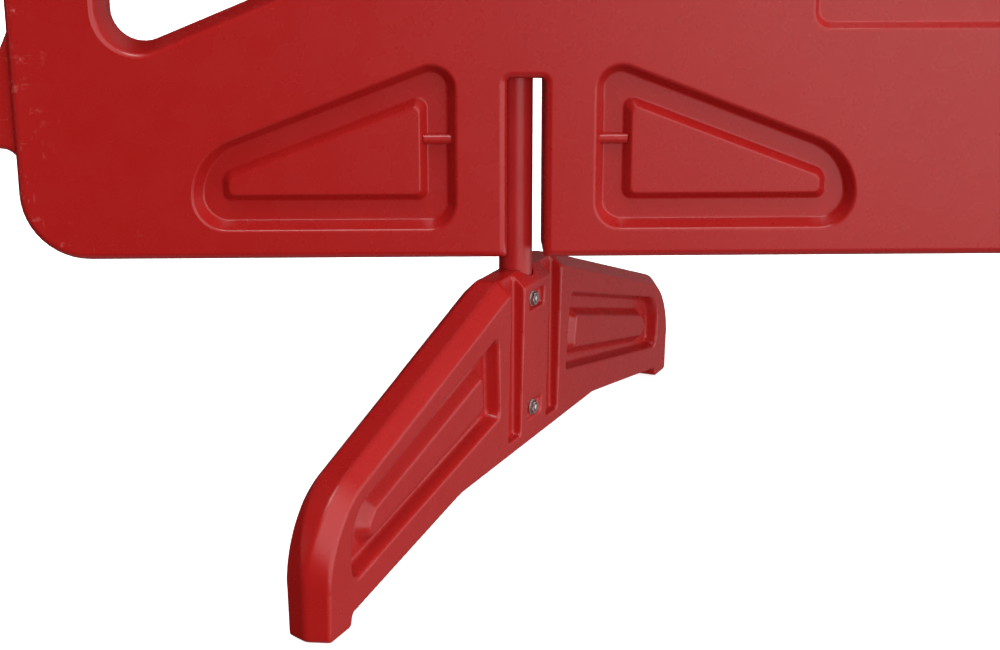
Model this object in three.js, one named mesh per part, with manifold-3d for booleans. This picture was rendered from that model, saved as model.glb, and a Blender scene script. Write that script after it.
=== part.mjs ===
// Crowd-control barrier: a hollow moulded panel standing on two swivelling moulded feet.
// Each foot is bolted to a steel post that turns in a bushed socket of the panel.
// Millimetres. +Z is up, the ground is Z = 0, X runs along the panel, -Y is its front.

import * as THREE from 'three';
import { mergeVertices } from 'three/addons/utils/BufferGeometryUtils.js';
import Module from 'manifold-3d';

const wasm = await Module();
wasm.setup();

// ---------------------------------------------------------------- driving dimensions

const GAP = 0.3;                 // air kept between pieces that touch on the real object

const PANEL = {
  halfLength: 1000,
  bottom: 200.5,
  top: 1000,
  halfThickness: 30,
  cornerRadius: 54,
  edgeRound: 6,
  wall: 4,
};
const MID_HEIGHT = (PANEL.bottom + PANEL.top) / 2;

const STATION_X = 593;           // middle of a notch and of its pair of pressed triangles
const POST_X = 600;              // swivel axis
const NOTCH = { halfWidth: 15, top: 346, lip: 5, channelRadius: 15.6 };

const TRIANGLE = { inner: 56, outer: 267.5, bottom: 224.3, topOuter: 286.1, topInner: 366.7 };
const TRIANGLE_RADII = [22, 27, 50, 20];
const TRIANGLE_DEPTH = 12;
const TRIANGLE_WALL = 9;         // width of the sloping wall round a pressed triangle
const CHANNEL_WIDTH = 14;        // flat channel between that wall and the raised island
const ISLAND = { slope: 6, below: 4, radii: [8, 6, 14, 8] };
const CHANNEL_RIB = { z: 297, halfWidth: 4, below: 7 };

const WINDOW = { side: 922.6, slope: 0.407, cornerBase: 361.6, cornerRadius: 26, tipRadius: 46 };
const OPENING_DRAFT = 6.6;       // how much wider an opening is where its lip starts
const SIGN = { halfLength: 366, halfHeight: 215.5, radius: 14, depth: 8, wall: 7.5 };
const HAND_HOLD = { halfLength: 62, z: 925, halfHeight: 17 };

const LUG = {
  height: 116,
  reach: 45,
  halfThickness: 20,
  rim: 5,
  root: 16,
  pinRadius: 9,
  pinInset: 20,
};
const LUG_LOWS = { left: [273, 824], right: [384, 713] };
const DRAIN = { x: 150, radius: 8, flangeRadius: 12.5, flangeThickness: 2.5 };

const FOOT_ANGLE = 26.3;         // degrees from +Y towards +X at rest
const FOOT = {
  top: 186.5,
  topHalf: 57,                   // half length of the level top round the post
  slope: 0.314,                  // fall of the top along each wing
  end: 349,
  endRadius: 70,
  soleInner: 313,
  soleHeight: 9,
  archHalf: 138,
  archTop: 36,
  halfAtGround: 16.4,            // half thickness at the ground
  widening: 0.023,               // half thickness gained per unit of height
  crestHalf: 9,                  // half width of the flat strip along the top
  crestEndHalf: 1,               // its half width at the ground, where it has narrowed
  taperTop: 110,                 // the strip narrows between these two heights
  taperLow: 40,
  ridgeDrop: 11,                 // height lost from that strip to each side face
  ridgeInset: 5.5,               // length lost at each end
  wall: 3.5,
};
const WING_RECESS = [[76, 147.2, 6], [70, 77.6, 5], [312, 32, 10], [312, 83.6, 34]];
const WING_ISLAND = [[98, 119.5, 3], [94, 92, 3], [276, 54, 4], [286, 62, 6], [272, 74, 5]];
const WING_DEPTH = 12;
const WING_WALL = 3;
const WING_ISLAND_BELOW = 3;
const WING_ISLAND_SLOPE = 8;
const GROOVE = { inner: 27, outer: 51, bottom: 48, depth: 7.5 };
const POCKET = { halfLength: 14.5, halfHeight: 7.5, floor: 15.3, heights: [64.5, 160.5] };

const POST = { radius: 14, inner: 12, bottom: 44, top: 440 };
const SOCKET = { radius: 17.8, top: 471, boss: 22.5 };
const SLEEVE = { outer: 17.5, inner: 14.25, bottom: 352, top: 460 };
const CAP = { plug: 22, headTop: 444.3, neckTop: 452.3, top: 458, neckRadius: 9 };
const KEEPER = { radius: 3, offset: 12.5, z: 448.3, front: -18 };
const BOLT = { radius: 3, holeRadius: 3.4, headRadius: 5.3, headHeight: 3.3, socket: 2.1, key: 4 };
const NUT = { acrossFlats: 10, height: 3.6, flangeRadius: 6.8, flange: 1.1 };
const WASHER = { radius: 6.2, thickness: 1 };

const ARC_STEPS = 4;             // segments in each rounded corner of an outer surface
const INNER_STEPS = 2;           // segments in each rounded corner of a small or inner outline
const SMALLEST_RADIUS = 2.4;
const ROUND_STEPS = 20;          // segments round a turned piece

// ---------------------------------------------------------------- materials

const red = () => new THREE.MeshStandardMaterial({ color: 0xa81f22, roughness: 0.5, metalness: 0 });
const paintedSteel = () => new THREE.MeshStandardMaterial({
  color: 0xa02022,
  roughness: 0.4,
  metalness: 0.1,
});
const zinc = () => new THREE.MeshStandardMaterial({ color: 0xc9c9cc, roughness: 0.35, metalness: 1 });
const bushPlastic = () => new THREE.MeshStandardMaterial({ color: 0x2a2a2c, roughness: 0.6, metalness: 0 });

// ---------------------------------------------------------------- outlines

const mirrored = (corners) => corners.map(([x, z, radius]) => [-x, z, radius]).reverse();
const shifted = (corners, dx) => corners.map(([x, z, radius]) => [x + dx, z, radius]);

function isClockwise(corners) {
  return THREE.ShapeUtils.area(corners.map(([x, z]) => new THREE.Vector2(x, z))) < 0;
}

const stepsFor = (skin) => (skin > 0 ? INNER_STEPS : ARC_STEPS);

// Rounds the corners [x, z, radius] of a polygon and moves every side inwards by inset.
function outline(cornersGiven, inset = 0, steps = ARC_STEPS) {
  const corners = isClockwise(cornersGiven) ? [...cornersGiven].reverse() : cornersGiven;
  const count = corners.length;
  const sides = corners.map(([x, z], i) => {
    const [nextX, nextZ] = corners[(i + 1) % count];
    const along = new THREE.Vector2(nextX - x, nextZ - z).normalize();
    return { along, inward: new THREE.Vector2(-along.y, along.x) };
  });
  const points = [];
  corners.forEach(([x, z, givenRadius], i) => {
    const before = sides[(i + count - 1) % count];
    const after = sides[i];
    const turn = Math.sign(before.along.cross(after.along)) || 1;
    const share = inset / (1 + before.inward.dot(after.inward));
    const corner = new THREE.Vector2(x, z)
      .addScaledVector(before.inward, share)
      .addScaledVector(after.inward, share);
    const radius = Math.max(givenRadius - turn * inset, SMALLEST_RADIUS);
    const bend = Math.acos(THREE.MathUtils.clamp(before.along.dot(after.along), -1, 1));
    const start = corner.clone().addScaledVector(before.along, -radius * Math.tan(bend / 2));
    const centre = start.clone().addScaledVector(before.inward, radius * turn);
    const from = Math.atan2(start.y - centre.y, start.x - centre.x);
    for (let k = 0; k <= steps; k += 1) {
      const angle = from + (turn * bend * k) / steps;
      points.push(new THREE.Vector2(
        centre.x + radius * Math.cos(angle),
        centre.y + radius * Math.sin(angle),
      ));
    }
  });
  return points;
}

// ---------------------------------------------------------------- solids

function toSolid(geometry) {
  const bare = geometry.index ? geometry.clone() : geometry;
  bare.deleteAttribute('normal');
  bare.deleteAttribute('uv');
  const merged = mergeVertices(bare, 1e-4);
  return new wasm.Manifold(new wasm.Mesh({
    numProp: 3,
    vertProperties: new Float32Array(merged.attributes.position.array),
    triVerts: new Uint32Array(merged.index.array),
  }));
}

function toGeometry(solid) {
  const mesh = solid.getMesh();
  const geometry = new THREE.BufferGeometry();
  geometry.setAttribute('position', new THREE.BufferAttribute(mesh.vertProperties, 3));
  geometry.setIndex(new THREE.BufferAttribute(mesh.triVerts, 1));
  geometry.computeVertexNormals();
  return geometry;
}

function volumeSign(rings) {
  const first = rings[0];
  const centre = new THREE.Vector3();
  first.forEach((point) => centre.add(point));
  centre.divideScalar(first.length);
  const normal = new THREE.Vector3();
  first.forEach((point, i) => {
    const next = first[(i + 1) % first.length];
    normal.add(point.clone().sub(centre).cross(next.clone().sub(centre)));
  });
  const along = rings[rings.length - 1][0].clone().sub(first[0]);
  return Math.sign(normal.dot(along));
}

// Joins rings of equal point count into one closed solid, with a flat face at each end.
function loft(rings) {
  const count = rings[0].length;
  const positions = rings.flat().flatMap((point) => [point.x, point.y, point.z]);
  const triangles = [];
  for (let level = 0; level < rings.length - 1; level += 1) {
    for (let i = 0; i < count; i += 1) {
      const a = level * count + i;
      const b = level * count + ((i + 1) % count);
      triangles.push([a, b, b + count], [a, b + count, a + count]);
    }
  }
  const flat = rings[0].map((point) => new THREE.Vector2(point.x, point.z));
  const capIsReversed = THREE.ShapeUtils.area(flat) < 0;
  const cap = THREE.ShapeUtils.triangulateShape(flat, []);
  const last = (rings.length - 1) * count;
  cap.forEach(([a, b, c]) => {
    const [p, q] = capIsReversed ? [c, b] : [b, c];
    triangles.push([a, q, p], [last + a, last + p, last + q]);
  });
  const outward = volumeSign(rings) > 0;
  const index = triangles.flatMap(([a, b, c]) => (outward ? [a, b, c] : [a, c, b]));
  const geometry = new THREE.BufferGeometry();
  geometry.setAttribute('position', new THREE.Float32BufferAttribute(positions, 3));
  geometry.setIndex(index);
  return toSolid(geometry);
}

const ringAt = (points, y) => points.map((point) => new THREE.Vector3(point.x, y, point.y));

function box(x0, x1, y0, y1, z0, z1) {
  const geometry = new THREE.BoxGeometry(x1 - x0, y1 - y0, z1 - z0);
  geometry.translate((x0 + x1) / 2, (y0 + y1) / 2, (z0 + z1) / 2);
  return toSolid(geometry);
}

// A turned solid from [radius, height] pairs, standing along Z.
function turned(profile) {
  const points = profile.map(([radius, height]) => new THREE.Vector2(radius, height));
  const geometry = new THREE.LatheGeometry(points, ROUND_STEPS);
  geometry.rotateX(Math.PI / 2);
  return geometry;
}

function rod(radius, from, to) {
  return turned([[0, from], [radius, from], [radius, to], [0, to]]);
}

function ringPiece(inner, outer, from, to) {
  return turned([[inner, from], [outer, from], [outer, to], [inner, to], [inner, from]]);
}

function part(name, shape, material) {
  const geometry = shape.isBufferGeometry ? shape : toGeometry(shape);
  const mesh = new THREE.Mesh(geometry, material);
  mesh.name = name;
  return mesh;
}

// ---------------------------------------------------------------- panel

const H = PANEL.halfThickness;
const panelCorners = [
  [-PANEL.halfLength, PANEL.bottom, PANEL.cornerRadius],
  [PANEL.halfLength, PANEL.bottom, PANEL.cornerRadius],
  [PANEL.halfLength, PANEL.top, PANEL.cornerRadius],
  [-PANEL.halfLength, PANEL.top, PANEL.cornerRadius],
];

// A rounded slab, thinner and smaller by skin all round.
function slab(corners, skin) {
  const rim = PANEL.edgeRound;
  const half = H - skin;
  const ring = (inset, y) => ringAt(outline(corners, inset, stepsFor(skin)), y);
  return loft([
    ring(skin + rim, -half),
    ring(skin, -half + rim),
    ring(skin, half - rim),
    ring(skin + rim, half),
  ]);
}

// The space of an opening right through the panel: narrowest half way, with sloping lips.
function openingSpace(corners, skin) {
  const rim = PANEL.edgeRound;
  const lip = H - rim;
  const levels = [
    [OPENING_DRAFT + rim + 1, H + 1],
    [OPENING_DRAFT, lip],
    [0, 0],
  ];
  const ring = (grow, y) => ringAt(outline(corners, -grow - skin, stepsFor(skin)), y);
  const near = levels.map(([grow, y]) => ring(grow, -y));
  const far = levels.slice(0, 2).reverse().map(([grow, y]) => ring(grow, y));
  return loft([...near, ...far]);
}

// The space of a pressed recess on one face. Levels are [inset, depth] pairs.
function recessSpace(corners, levels, side, skin) {
  const ring = (inset, y) => ringAt(outline(corners, inset - skin, stepsFor(skin)), side * y);
  return loft([
    ring(-1, H + 1),
    ...levels.map(([inset, depth]) => ring(inset, H - depth - skin)),
  ]);
}

function triangleCorners(hand, stationX, radii) {
  const t = TRIANGLE;
  const corners = [
    [t.inner, t.bottom, radii[0]],
    [t.outer, t.bottom, radii[1]],
    [t.outer, t.topOuter, radii[2]],
    [t.inner, t.topInner, radii[3]],
  ];
  return shifted(hand > 0 ? corners : mirrored(corners), stationX);
}

// The island that stands up in a pressed triangle, from under the recess floor.
function islandSolid(hand, stationX, side, skin) {
  const base = TRIANGLE_WALL + CHANNEL_WIDTH;
  const corners = triangleCorners(hand, stationX, ISLAND.radii.map((radius) => radius + base));
  const levels = [
    [base - 1, TRIANGLE_DEPTH + 1],
    [base + ISLAND.slope, ISLAND.below],
  ];
  return loft(levels.map(([inset, depth]) => (
    ringAt(outline(corners, inset + skin, INNER_STEPS), side * (H - depth - skin))
  )));
}

const TRIANGLE_LEVELS = [[0, 0], [3.5, 3], [TRIANGLE_WALL, TRIANGLE_DEPTH]];

function pressedTriangle(hand, stationX, side, skin) {
  const corners = triangleCorners(hand, stationX, TRIANGLE_RADII);
  let space = recessSpace(corners, TRIANGLE_LEVELS, side, skin);
  space = space.subtract(islandSolid(hand, stationX, side, skin));
  if (skin === 0) {
    const from = hand * (TRIANGLE.inner + 4) + stationX;
    const to = hand * (TRIANGLE.inner + TRIANGLE_WALL + CHANNEL_WIDTH + 2) + stationX;
    const near = side * (H - TRIANGLE_DEPTH - 1);
    const far = side * (H - CHANNEL_RIB.below);
    const rib = box(Math.min(from, to), Math.max(from, to), Math.min(near, far), Math.max(near, far),
      CHANNEL_RIB.z - CHANNEL_RIB.halfWidth, CHANNEL_RIB.z + CHANNEL_RIB.halfWidth);
    space = space.subtract(rib);
  }
  return space;
}

function windowCorners(hand) {
  const w = WINDOW;
  const rise = MID_HEIGHT - w.cornerBase;
  const tip = -w.side + rise / w.slope;
  const corners = [
    [-w.side, w.cornerBase, w.cornerRadius],
    [tip, MID_HEIGHT, w.tipRadius],
    [-w.side, 2 * MID_HEIGHT - w.cornerBase, w.cornerRadius],
  ];
  return hand < 0 ? corners : mirrored(corners);
}

function slotCorners(x0, x1, z0, z1, radius) {
  return [[x0, z0, radius], [x1, z0, radius], [x1, z1, radius], [x0, z1, radius]];
}

// The notch is open at the panel's lower edge; its outer side wall has a channel for the post.
function notchSpace(hand, skin) {
  const stationX = hand * STATION_X;
  const low = PANEL.bottom - 40;
  const half = NOTCH.halfWidth + skin;
  const corners = slotCorners(stationX - half, stationX + half, low, NOTCH.top + skin, 6);
  const rings = [
    [NOTCH.lip + 1, -H - 1],
    [0, -H + NOTCH.lip],
    [0, H - NOTCH.lip],
    [NOTCH.lip + 1, H + 1],
  ].map(([grow, y]) => ringAt(outline(corners, -grow, 3), y));
  const channel = rod(NOTCH.channelRadius + skin, low, NOTCH.top + skin);
  channel.translate(hand * POST_X, 0, 0);
  return loft(rings).add(toSolid(channel));
}

// A lug on the panel's end, upright and thinner than the panel, bored for a linking pin.
function lugSolid(hand, low) {
  const high = low + LUG.height;
  const from = PANEL.halfLength - LUG.root;
  const to = PANEL.halfLength + LUG.reach;
  const edge = PANEL.halfLength - 0.5;
  const corners = [
    [from, low - 20, 3],
    [edge, low - 20, 3],
    [edge, low + 16, 14],
    [to, low + 19, 12],
    [to, low + 58, 12],
    [edge + 17, high - 36, 10],
    [edge, high, 5],
    [edge, high + 10, 3],
    [from, high + 10, 3],
  ];
  const placed = hand > 0 ? corners : mirrored(corners);
  const t = LUG.halfThickness;
  const body = loft([
    ringAt(outline(placed, LUG.rim), -t),
    ringAt(outline(placed, 0), -t + LUG.rim),
    ringAt(outline(placed, 0), t - LUG.rim),
    ringAt(outline(placed, LUG.rim), t),
  ]);
  const hole = rod(LUG.pinRadius, low - 5, high + 5);
  hole.translate(hand * (to - LUG.pinInset), 0, 0);
  return body.subtract(toSolid(hole));
}

function cylinderAlongY(radius, x, z, from, to) {
  const geometry = rod(radius, from, to);
  geometry.rotateX(-Math.PI / 2);
  geometry.translate(x, 0, z);
  return toSolid(geometry);
}

// Everything that is pressed or cut into the slab. With skin it is grown by the wall thickness.
function panelSpaces(skin) {
  const spaces = [];
  for (const hand of [-1, 1]) {
    spaces.push(openingSpace(windowCorners(hand), skin));
    spaces.push(notchSpace(hand, skin));
    for (const side of [-1, 1]) {
      for (const lean of [-1, 1]) {
        spaces.push(pressedTriangle(lean, hand * STATION_X, side, skin));
      }
    }
  }
  const sign = slotCorners(-SIGN.halfLength, SIGN.halfLength,
    MID_HEIGHT - SIGN.halfHeight, MID_HEIGHT + SIGN.halfHeight, SIGN.radius);
  for (const side of [-1, 1]) {
    spaces.push(recessSpace(sign, [[0, 0], [3, 2.5], [SIGN.wall, SIGN.depth]], side, skin));
  }
  const hold = slotCorners(-HAND_HOLD.halfLength, HAND_HOLD.halfLength,
    HAND_HOLD.z - HAND_HOLD.halfHeight, HAND_HOLD.z + HAND_HOLD.halfHeight, HAND_HOLD.halfHeight - 1);
  spaces.push(openingSpace(hold, skin));
  return spaces;
}

function panelShell() {
  let shell = slab(panelCorners, 0);
  let hollow = slab(panelCorners, PANEL.wall);
  panelSpaces(0).forEach((space) => { shell = shell.subtract(space); });
  panelSpaces(PANEL.wall).forEach((space) => { hollow = hollow.subtract(space); });
  for (const hand of [-1, 1]) {
    const boss = rod(SOCKET.boss, NOTCH.top - 5, SOCKET.top + PANEL.wall);
    boss.translate(hand * POST_X, 0, 0);
    hollow = hollow.subtract(toSolid(boss));
  }
  shell = shell.subtract(hollow);
  for (const [hand, lows] of [[-1, LUG_LOWS.left], [1, LUG_LOWS.right]]) {
    for (const low of lows) {
      shell = shell.add(lugSolid(hand, low));
    }
  }
  for (const hand of [-1, 1]) {
    const bore = rod(SOCKET.radius, NOTCH.top - 5, SOCKET.top);
    bore.translate(hand * POST_X, 0, 0);
    shell = shell.subtract(toSolid(bore));
    const keeperX = hand * (POST_X + KEEPER.offset);
    shell = shell.subtract(
      cylinderAlongY(KEEPER.radius + GAP, keeperX, KEEPER.z, KEEPER.front - GAP, H + 1));
    const drain = rod(DRAIN.radius, PANEL.bottom - 1, PANEL.bottom + PANEL.wall + 2);
    const seat = rod(DRAIN.flangeRadius + GAP, PANEL.bottom - 1, PANEL.bottom + DRAIN.flangeThickness);
    drain.translate(hand * DRAIN.x, 0, 0);
    seat.translate(hand * DRAIN.x, 0, 0);
    shell = shell.subtract(toSolid(drain)).subtract(toSolid(seat));
  }
  return shell;
}

function drainPlug() {
  const rim = PANEL.bottom + DRAIN.flangeThickness - GAP;
  return turned([
    [0, PANEL.bottom],
    [DRAIN.flangeRadius, PANEL.bottom],
    [DRAIN.flangeRadius, rim],
    [DRAIN.radius - GAP, rim],
    [DRAIN.radius - GAP, rim + 6],
    [0, rim + 6],
  ]);
}

// ---------------------------------------------------------------- foot

const halfAt = (z) => FOOT.halfAtGround + FOOT.widening * z;

function crestHalfAt(z) {
  const share = THREE.MathUtils.smoothstep(z, FOOT.taperLow, FOOT.taperTop);
  return THREE.MathUtils.lerp(FOOT.crestEndHalf, FOOT.crestHalf, share);
}

// The side view of the foot. At drop 0 it is the crest, at drop 1 the edge of a side face.
function footCorners(drop, skin = 0) {
  const top = FOOT.top - drop * FOOT.ridgeDrop - skin;
  const end = FOOT.end - drop * FOOT.ridgeInset - skin;
  const shoulder = FOOT.topHalf;
  const endTop = top - FOOT.slope * (end - shoulder);
  const toe = FOOT.soleInner;
  const heel = FOOT.soleHeight + skin;
  const wing = [
    [shoulder, top, 12],
    [end, endTop, FOOT.endRadius - skin],
    [end, skin > 0 ? heel : 0, 2],
    ...(skin > 0 ? [] : [[toe, 0, 2], [toe - 2, FOOT.soleHeight, 2]]),
    [FOOT.archHalf, FOOT.archTop + skin, 20],
  ];
  return [...wing, ...mirrored(wing)];
}

const footRing = (points, yAt) => points.map((p) => new THREE.Vector3(p.x, yAt(p.y), p.y));

function footSlab(skin) {
  const crest = outline(footCorners(0, skin), 0, stepsFor(skin));
  const ridge = outline(footCorners(1, skin), 0, stepsFor(skin));
  const face = (z) => halfAt(z) - skin;
  return loft([
    footRing(ridge, (z) => -face(z)),
    footRing(crest, (z) => -crestHalfAt(z)),
    footRing(crest, crestHalfAt),
    footRing(ridge, face),
  ]);
}

function wingRecess(hand, side, skin) {
  const level = (corners, inset, depth) => {
    const placed = hand > 0 ? corners : mirrored(corners);
    return footRing(outline(placed, inset, INNER_STEPS), (z) => side * (halfAt(z) - depth));
  };
  const space = loft([
    level(WING_RECESS, -1 - skin, -1),
    level(WING_RECESS, -skin, 1.5),
    level(WING_RECESS, WING_WALL - skin, WING_DEPTH + skin),
  ]);
  const island = loft([
    level(WING_ISLAND, -WING_ISLAND_SLOPE + skin, WING_DEPTH + 1 + skin),
    level(WING_ISLAND, skin, WING_ISLAND_BELOW + skin),
  ]);
  return space.subtract(island);
}

function footShell() {
  let shell = footSlab(0);
  let hollow = footSlab(FOOT.wall);
  const core = GROOVE.outer + FOOT.wall;
  hollow = hollow.subtract(box(-core, core, -40, 40, 0, 250));
  for (const side of [-1, 1]) {
    const spanY = (floor) => (side > 0 ? [floor, 40] : [-40, -floor]);
    for (const hand of [-1, 1]) {
      shell = shell.subtract(wingRecess(hand, side, 0));
      hollow = hollow.subtract(wingRecess(hand, side, FOOT.wall));
      const spanX = hand > 0 ? [GROOVE.inner, GROOVE.outer] : [-GROOVE.outer, -GROOVE.inner];
      const floor = halfAt(FOOT.archTop) - GROOVE.depth;
      shell = shell.subtract(box(...spanX, ...spanY(floor), GROOVE.bottom, 250));
    }
    for (const z of POCKET.heights) {
      shell = shell.subtract(box(-POCKET.halfLength, POCKET.halfLength, ...spanY(POCKET.floor),
        z - POCKET.halfHeight, z + POCKET.halfHeight));
    }
  }
  shell = shell.subtract(hollow);
  shell = shell.subtract(toSolid(rod(POST.radius + GAP, POST.bottom - 2 * GAP, FOOT.top + 5)));
  for (const z of POCKET.heights) {
    shell = shell.subtract(cylinderAlongY(BOLT.holeRadius, 0, z, -30, 30));
  }
  for (const hand of [-1, 1]) {
    const drain = rod(4, 0, FOOT.archTop + FOOT.wall + 12);
    drain.translate(hand * 110, 0, 0);
    shell = shell.subtract(toSolid(drain));
  }
  return shell;
}

// ---------------------------------------------------------------- post and hardware

function postTube() {
  let tube = toSolid(ringPiece(POST.inner, POST.radius, POST.bottom, POST.top));
  for (const z of POCKET.heights) {
    tube = tube.subtract(cylinderAlongY(BOLT.holeRadius, 0, z, -20, 20));
  }
  return tube;
}

function postFootPlug() {
  const top = POST.bottom + 12;
  return rod(POST.inner - GAP, POST.bottom, top);
}

function postTopCap() {
  const c = CAP;
  return turned([
    [0, POST.top - c.plug],
    [POST.inner - GAP, POST.top - c.plug],
    [POST.inner - GAP, POST.top + GAP],
    [POST.radius, POST.top + GAP],
    [POST.radius, c.headTop],
    [c.neckRadius, c.headTop],
    [c.neckRadius, c.neckTop],
    [POST.radius, c.neckTop],
    [POST.radius, c.top],
    [0, c.top],
  ]);
}

function guideSleeve(hand) {
  const sleeve = toSolid(ringPiece(SLEEVE.inner, SLEEVE.outer, SLEEVE.bottom, SLEEVE.top));
  return sleeve.subtract(
    cylinderAlongY(KEEPER.radius + GAP, hand * KEEPER.offset, KEEPER.z, -40, 40));
}

function thrustWasher() {
  return ringPiece(5, POST.radius, CAP.top + GAP, CAP.top + GAP + 1.5);
}

function bearingCup() {
  const low = SLEEVE.top + GAP;
  return turned([[0, low], [SLEEVE.outer, low], [SLEEVE.outer, SOCKET.top - GAP], [0, SOCKET.top - GAP]]);
}

function keeperPin() {
  const geometry = rod(KEEPER.radius, KEEPER.front, H - 2);
  geometry.rotateX(-Math.PI / 2);
  return geometry;
}

// Bolts lie across the foot: the head on one face, the nut in the pocket of the other.
const HEAD_SEAT = -(POCKET.floor + GAP + WASHER.thickness + GAP);
const NUT_SEAT = POCKET.floor + GAP;

function hexagon(acrossFlats) {
  const corner = acrossFlats / Math.sqrt(3);
  const shape = new THREE.Shape();
  for (let i = 0; i < 6; i += 1) {
    const angle = (i * Math.PI) / 3;
    const [x, y] = [corner * Math.cos(angle), corner * Math.sin(angle)];
    if (i === 0) shape.moveTo(x, y);
    else shape.lineTo(x, y);
  }
  shape.closePath();
  return shape;
}

function bolt() {
  const b = BOLT;
  const tip = NUT_SEAT + NUT.height + 0.8;
  const body = toSolid(turned([
    [0, HEAD_SEAT - b.headHeight],
    [b.headRadius * 0.62, HEAD_SEAT - b.headHeight],
    [b.headRadius, HEAD_SEAT - 1.4],
    [b.headRadius, HEAD_SEAT],
    [b.radius, HEAD_SEAT],
    [b.radius, tip - 0.8],
    [b.radius - 0.8, tip],
    [0, tip],
  ]));
  const key = new THREE.ExtrudeGeometry(hexagon(b.key), { depth: b.socket + 1, bevelEnabled: false });
  key.translate(0, 0, HEAD_SEAT - b.headHeight - 1);
  return toGeometry(body.subtract(toSolid(key)));
}

function nut() {
  const shape = hexagon(NUT.acrossFlats);
  const bore = new THREE.Path();
  bore.absarc(0, 0, BOLT.radius + GAP, 0, Math.PI * 2, true);
  shape.holes.push(bore);
  const geometry = new THREE.ExtrudeGeometry(shape, { depth: NUT.height, bevelEnabled: false });
  geometry.translate(0, 0, NUT_SEAT);
  const flange = ringPiece(BOLT.radius + GAP, NUT.flangeRadius, NUT_SEAT, NUT_SEAT + NUT.flange);
  return toGeometry(toSolid(geometry).add(toSolid(flange)));
}

function washer() {
  const from = -(POCKET.floor + GAP) - WASHER.thickness;
  return ringPiece(BOLT.radius + GAP, WASHER.radius, from, from + WASHER.thickness);
}

// ---------------------------------------------------------------- assembly

const barrier = new THREE.Group();
barrier.add(part('panel_shell', panelShell(), red()));

for (const [name, hand] of [['left', -1], ['right', 1]]) {
  const plug = part(`drain_plug_${name}`, drainPlug(), red());
  plug.position.x = hand * DRAIN.x;
  barrier.add(plug);

  const socket = new THREE.Group();
  socket.position.x = hand * POST_X;
  socket.add(part(`guide_sleeve_${name}`, guideSleeve(hand), bushPlastic()));
  socket.add(part(`bearing_cup_${name}`, bearingCup(), bushPlastic()));
  const keeper = part(`keeper_pin_${name}`, keeperPin(), zinc());
  keeper.position.set(hand * KEEPER.offset, 0, KEEPER.z);
  socket.add(keeper);
  barrier.add(socket);

  const foot = new THREE.Group();
  foot.position.x = hand * POST_X;
  foot.rotation.z = THREE.MathUtils.degToRad(90 - FOOT_ANGLE);
  foot.add(part(`foot_shell_${name}`, footShell(), red()));
  foot.add(part(`post_tube_${name}`, postTube(), paintedSteel()));
  foot.add(part(`post_foot_plug_${name}`, postFootPlug(), bushPlastic()));
  foot.add(part(`post_top_cap_${name}`, postTopCap(), bushPlastic()));
  foot.add(part(`thrust_washer_${name}`, thrustWasher(), zinc()));
  for (const [place, z] of [['lower', POCKET.heights[0]], ['upper', POCKET.heights[1]]]) {
    for (const [piece, shape] of [['bolt', bolt()], ['nut', nut()], ['washer', washer()]]) {
      const mesh = part(`${piece}_${place}_${name}`, shape, zinc());
      mesh.rotation.x = Math.PI / 2;
      mesh.position.z = z;
      foot.add(mesh);
    }
  }
  barrier.add(foot);
}

export default barrier;
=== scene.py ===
import math

import bmesh
import bpy
from mathutils import Matrix, Vector


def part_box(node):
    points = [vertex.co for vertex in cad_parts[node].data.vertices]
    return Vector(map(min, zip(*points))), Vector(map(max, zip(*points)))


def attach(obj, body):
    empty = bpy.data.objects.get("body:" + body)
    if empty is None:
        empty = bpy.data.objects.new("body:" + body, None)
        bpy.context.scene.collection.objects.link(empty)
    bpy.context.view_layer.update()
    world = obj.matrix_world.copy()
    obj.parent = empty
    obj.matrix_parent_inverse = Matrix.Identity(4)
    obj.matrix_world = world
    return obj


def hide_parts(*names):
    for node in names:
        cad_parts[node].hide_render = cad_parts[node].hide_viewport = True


# Crowd-control barrier: a moulded plastic panel on two swivelling moulded feet.
# Meshes are made in millimetres and scaled to metres. The panel's front faces -Y.

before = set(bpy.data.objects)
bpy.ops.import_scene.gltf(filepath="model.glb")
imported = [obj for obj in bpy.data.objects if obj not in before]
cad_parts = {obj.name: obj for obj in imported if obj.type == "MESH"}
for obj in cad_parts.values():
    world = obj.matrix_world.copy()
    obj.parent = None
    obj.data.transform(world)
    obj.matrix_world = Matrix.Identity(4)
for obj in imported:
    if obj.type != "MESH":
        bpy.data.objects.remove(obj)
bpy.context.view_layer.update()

MM = 0.001
HANDS = (("left", -1), ("right", 1))

# ---------------------------------------------------------------- sizes from the frame, in mm

panel_low, panel_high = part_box("panel_shell")
tube_low, tube_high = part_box("post_tube_left")
LUG_REACH = 45.0                            # how far the part's lugs stand out past the slab
PANEL_HALF = panel_high.x / MM - LUG_REACH
PANEL_BOTTOM = panel_low.z / MM
PANEL_TOP = panel_high.z / MM
FACE = panel_high.y / MM                    # half the panel's thickness
MID = (PANEL_BOTTOM + PANEL_TOP) / 2
POST_X = abs(tube_low.x + tube_high.x) / 2 / MM
POST_LOW = tube_low.z / MM
POST_HIGH = tube_high.z / MM
POST_RADIUS = (tube_high.x - tube_low.x) / 2 / MM
FOOT_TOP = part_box("foot_shell_left")[1].z / MM

# ---------------------------------------------------------------- sizes of the panel's features

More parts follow.
